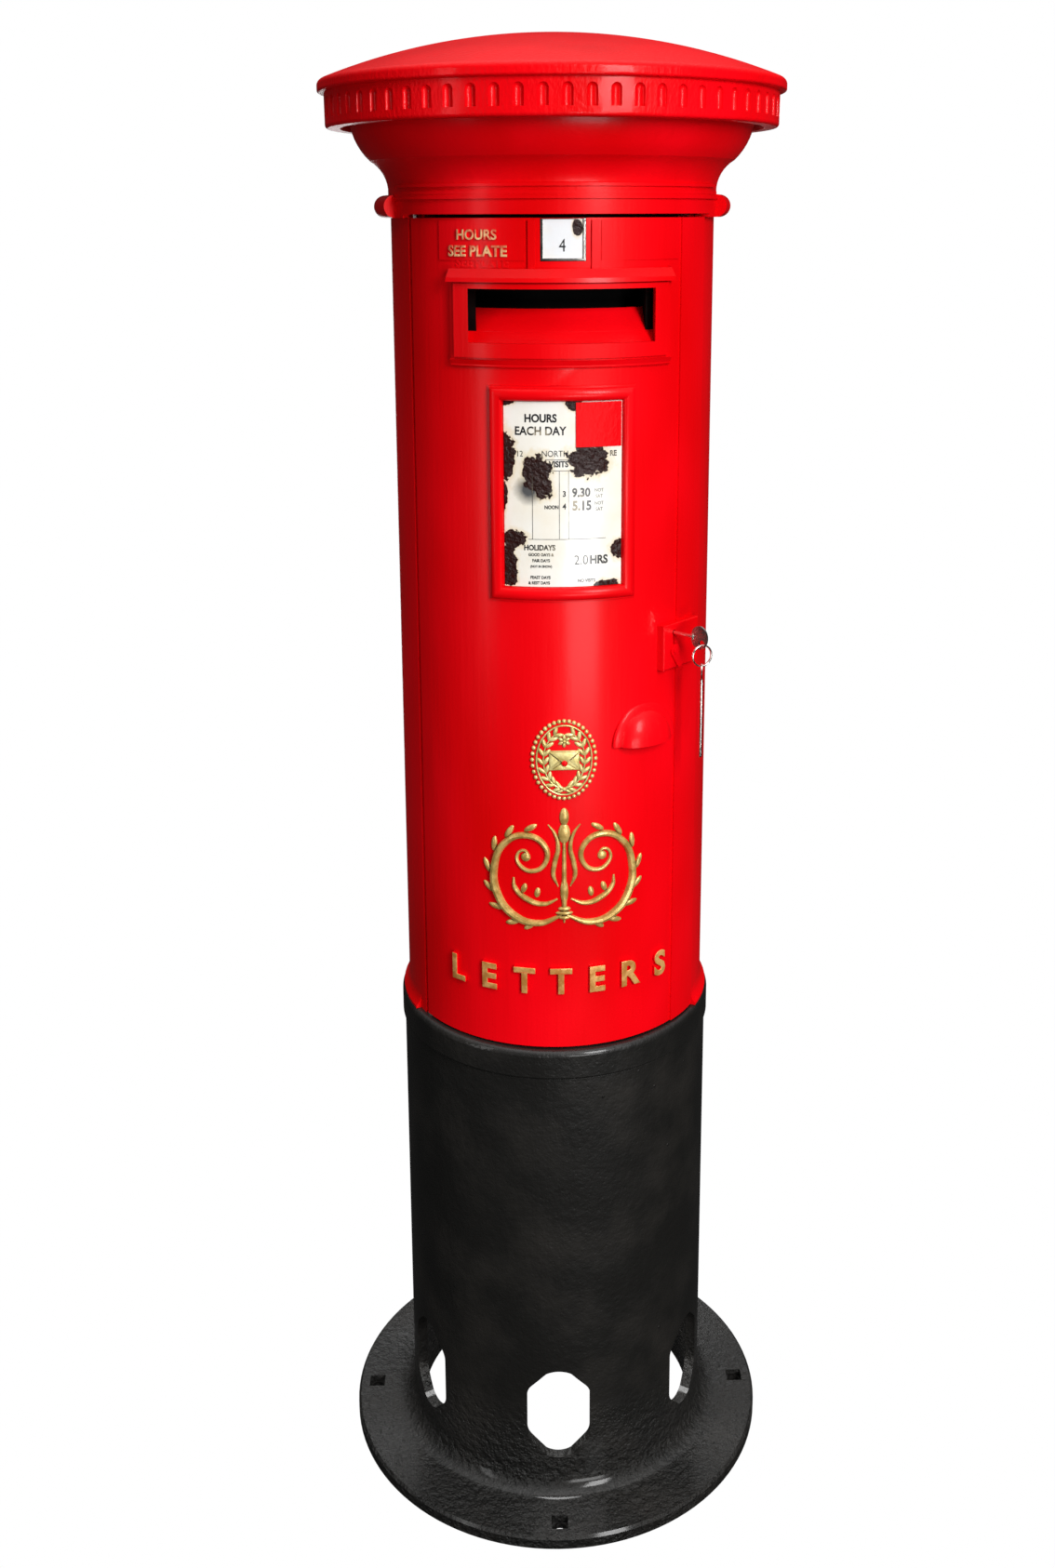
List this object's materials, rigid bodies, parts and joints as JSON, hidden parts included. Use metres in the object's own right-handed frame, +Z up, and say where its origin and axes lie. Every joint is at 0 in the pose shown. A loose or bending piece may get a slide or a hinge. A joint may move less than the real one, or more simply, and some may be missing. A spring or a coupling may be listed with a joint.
{
  "type": "pillar letter box",
  "caption": "Cast-iron pillar letter box: black root for setting in the ground, red round post with a fluted domed cap, hinged door with posting aperture, keyed lock and raised gold work.",
  "frame": {"origin": "centre of the root flange's underside", "axes": "+Z up, -Y towards the front, square to the middle of the door, +X to the right seen from the front"},
  "size_m": [0.6978, 0.698, 2.305],
  "materials": {
    "black_iron": "gloss black paint over iron",
    "red_paint": "gloss red",
    "gold_paint": "gold paint",
    "enamel": "white vitreous enamel on steel",
    "bright_steel": "worn bright steel",
    "dark_steel": "plain steel",
    "brass": "worn brass",
    "galvanised": "galvanised"
  },
  "bodies": {
    "frame": {"root_casting": "black_iron", "plinth_ring": "black_iron", "tie_bolts": "dark_steel", "carcase": "red_paint", "cap_casting": "red_paint", "cap_bolts": "dark_steel", "thrust_washer": "dark_steel", "mail_floor": "galvanised", "lock_keep": "dark_steel", "keep_screws": "dark_steel"},
    "guard": {"wire_guard": "galvanised"},
    "door": {"door_casting": "red_paint", "upper_hinge_pin": "dark_steel", "lower_hinge_pin": "dark_steel", "aperture_sill": "red_paint", "letter_chute": "galvanised", "chute_screws": "dark_steel", "notice_frame": "red_paint", "frame_studs": "dark_steel", "notice_plate": "enamel", "blank_tablet": "red_paint", "tablet_tray": "bright_steel", "number_tablet": "enamel", "lock_case": "dark_steel", "lock_cover": "dark_steel", "lock_screws": "dark_steel", "levers": "brass", "lever_springs": "dark_steel", "cover_pivot": "dark_steel", "crest_ornament": "gold_paint", "scroll_ornament": "gold_paint", "raised_letters": "gold_paint"},
    "bolt": {"lock_bolt": "brass"},
    "key": {"lock_key": "bright_steel"},
    "ring": {"key_ring": "bright_steel"},
    "spare": {"spare_key": "bright_steel"},
    "cover": {"keyhole_cover": "red_paint"}
  },
  "joints": [
    {"name": "door_hinge", "type": "hinge", "parent": "frame", "child": "door", "pos_m": [-0.20188, -0.11892, 0.811], "axis": [0, 0, -1], "range_deg": [0, 100]},
    {"name": "guard_lift", "type": "slide", "parent": "frame", "child": "guard", "axis": [0, 0, 1], "range_m": [0, 0.046]},
    {"name": "key_turn", "type": "hinge", "parent": "door", "child": "key", "pos_m": [0.1657, -0.18807, 1.4475], "axis": [-0.7133, 0.7009, 0], "range_deg": [0, 180]},
    {"name": "bolt_throw", "type": "slide", "parent": "door", "child": "bolt", "axis": [0.7009, 0.7133, 0], "range_m": [0, 0.02]},
    {"name": "ring_swing", "type": "hinge", "parent": "key", "child": "ring", "pos_m": [0.20278, -0.22451, 1.4367], "axis": [0.7009, 0.7133, 0], "range_deg": [-12, 8]},
    {"name": "spare_swing", "type": "hinge", "parent": "ring", "child": "spare", "pos_m": [0.20278, -0.22451, 1.4057], "axis": [0.9304, 0.3665, 0], "range_deg": [-8, 8]},
    {"name": "cover_swing", "type": "hinge", "parent": "door", "child": "cover", "pos_m": [0.16712, -0.18947, 1.421], "axis": [-0.7133, 0.7009, 0], "range_deg": [-112, 100]}
  ],
  "couplings": [
    {"joint": "bolt_throw", "follows": "key_turn", "m_per_rad": 0.0063662}
  ]
}
